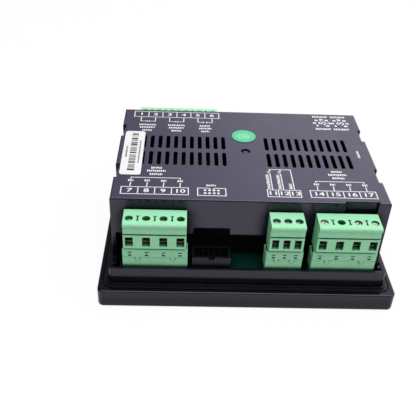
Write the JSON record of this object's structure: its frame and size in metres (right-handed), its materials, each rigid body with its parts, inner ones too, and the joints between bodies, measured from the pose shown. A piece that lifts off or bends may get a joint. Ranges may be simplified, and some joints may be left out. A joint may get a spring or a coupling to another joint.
{
  "type": "automatic transfer switch controller",
  "caption": "Black panel-mounted controller with front bezel, vented rear cover, green pluggable screw terminals, box header and trimmers.",
  "frame": {"origin": "middle of the front face, in the plane of the bezel's front rim", "axes": "+X to the right and +Y away from the terminals 7 to 17, both seen from the rear; +Z from the front face towards the rear cover"},
  "size_m": [0.139, 0.12, 0.0503],
  "materials": {
    "shell_black": "fine satin texture on the roof, glossy on the walls",
    "bezel_black": "smooth and glossy",
    "seal_rubber": "matte, with a raised lip",
    "film_grey": "printed polyester film",
    "board_green": "solder resist on glass-fibre board",
    "display_green": "solder resist on glass-fibre board",
    "terminal_green": "moulded polyamide",
    "screw_steel": "nickel-plated",
    "clamp_steel": "nickel-plated",
    "header_black": "moulded polyester",
    "relay_case": "moulded",
    "coil_tape": "tape-wrapped",
    "trimmer_blue": "moulded",
    "rotor_white": "moulded",
    "label_white": "satin paper",
    "sticker_green": "satin film"
  },
  "bodies": {
    "case": {"front_bezel": "bezel_black", "panel_seal": "seal_rubber", "front_overlay": "film_grey", "rear_cover": "shell_black", "main_board": "board_green", "display_board": "display_green", "board_connector": "header_black", "output_relay_1": "relay_case", "output_relay_2": "relay_case", "output_relay_3": "relay_case", "supply_transformer": "coil_tape", "header_1_6": "terminal_green", "plug_1_6": "terminal_green", "header_7_10": "terminal_green", "plug_7_10": "terminal_green", "header_11_13": "terminal_green", "plug_11_13": "terminal_green", "header_14_17": "terminal_green", "plug_14_17": "terminal_green", "clamp_screw_01": "screw_steel", "clamp_screw_02": "screw_steel", "clamp_screw_03": "screw_steel", "clamp_screw_04": "screw_steel", "clamp_screw_05": "screw_steel", "clamp_screw_06": "screw_steel", "clamp_screw_07": "screw_steel", "clamp_screw_08": "screw_steel", "clamp_screw_09": "screw_steel", "clamp_screw_10": "screw_steel", "clamp_screw_11": "screw_steel", "clamp_screw_12": "screw_steel", "clamp_screw_13": "screw_steel", "clamp_screw_14": "screw_steel", "clamp_screw_15": "screw_steel", "clamp_screw_16": "screw_steel", "clamp_screw_17": "screw_steel", "wire_clamp_01": "clamp_steel", "wire_clamp_02": "clamp_steel", "wire_clamp_03": "clamp_steel", "wire_clamp_04": "clamp_steel", "wire_clamp_05": "clamp_steel", "wire_clamp_06": "clamp_steel", "wire_clamp_07": "clamp_steel", "wire_clamp_08": "clamp_steel", "wire_clamp_09": "clamp_steel", "wire_clamp_10": "clamp_steel", "wire_clamp_11": "clamp_steel", "wire_clamp_12": "clamp_steel", "wire_clamp_13": "clamp_steel", "wire_clamp_14": "clamp_steel", "wire_clamp_15": "clamp_steel", "wire_clamp_16": "clamp_steel", "wire_clamp_17": "clamp_steel", "link_header": "header_black", "trimmer_1_body": "trimmer_blue", "trimmer_2_body": "trimmer_blue", "serial_label": "label_white", "inspection_sticker": "sticker_green"},
    "rotor_1": {"trimmer_1_rotor": "rotor_white"},
    "rotor_2": {"trimmer_2_rotor": "rotor_white"}
  },
  "joints": [
    {"name": "trimmer_1_turn", "type": "hinge", "parent": "case", "child": "rotor_1", "pos_m": [0.044, 0.0506, 0.0215], "axis": [0, 1, 0], "range_deg": [-135, 135]},
    {"name": "trimmer_2_turn", "type": "hinge", "parent": "case", "child": "rotor_2", "pos_m": [0.0539, 0.0506, 0.0215], "axis": [0, 1, 0], "range_deg": [-135, 135]}
  ]
}
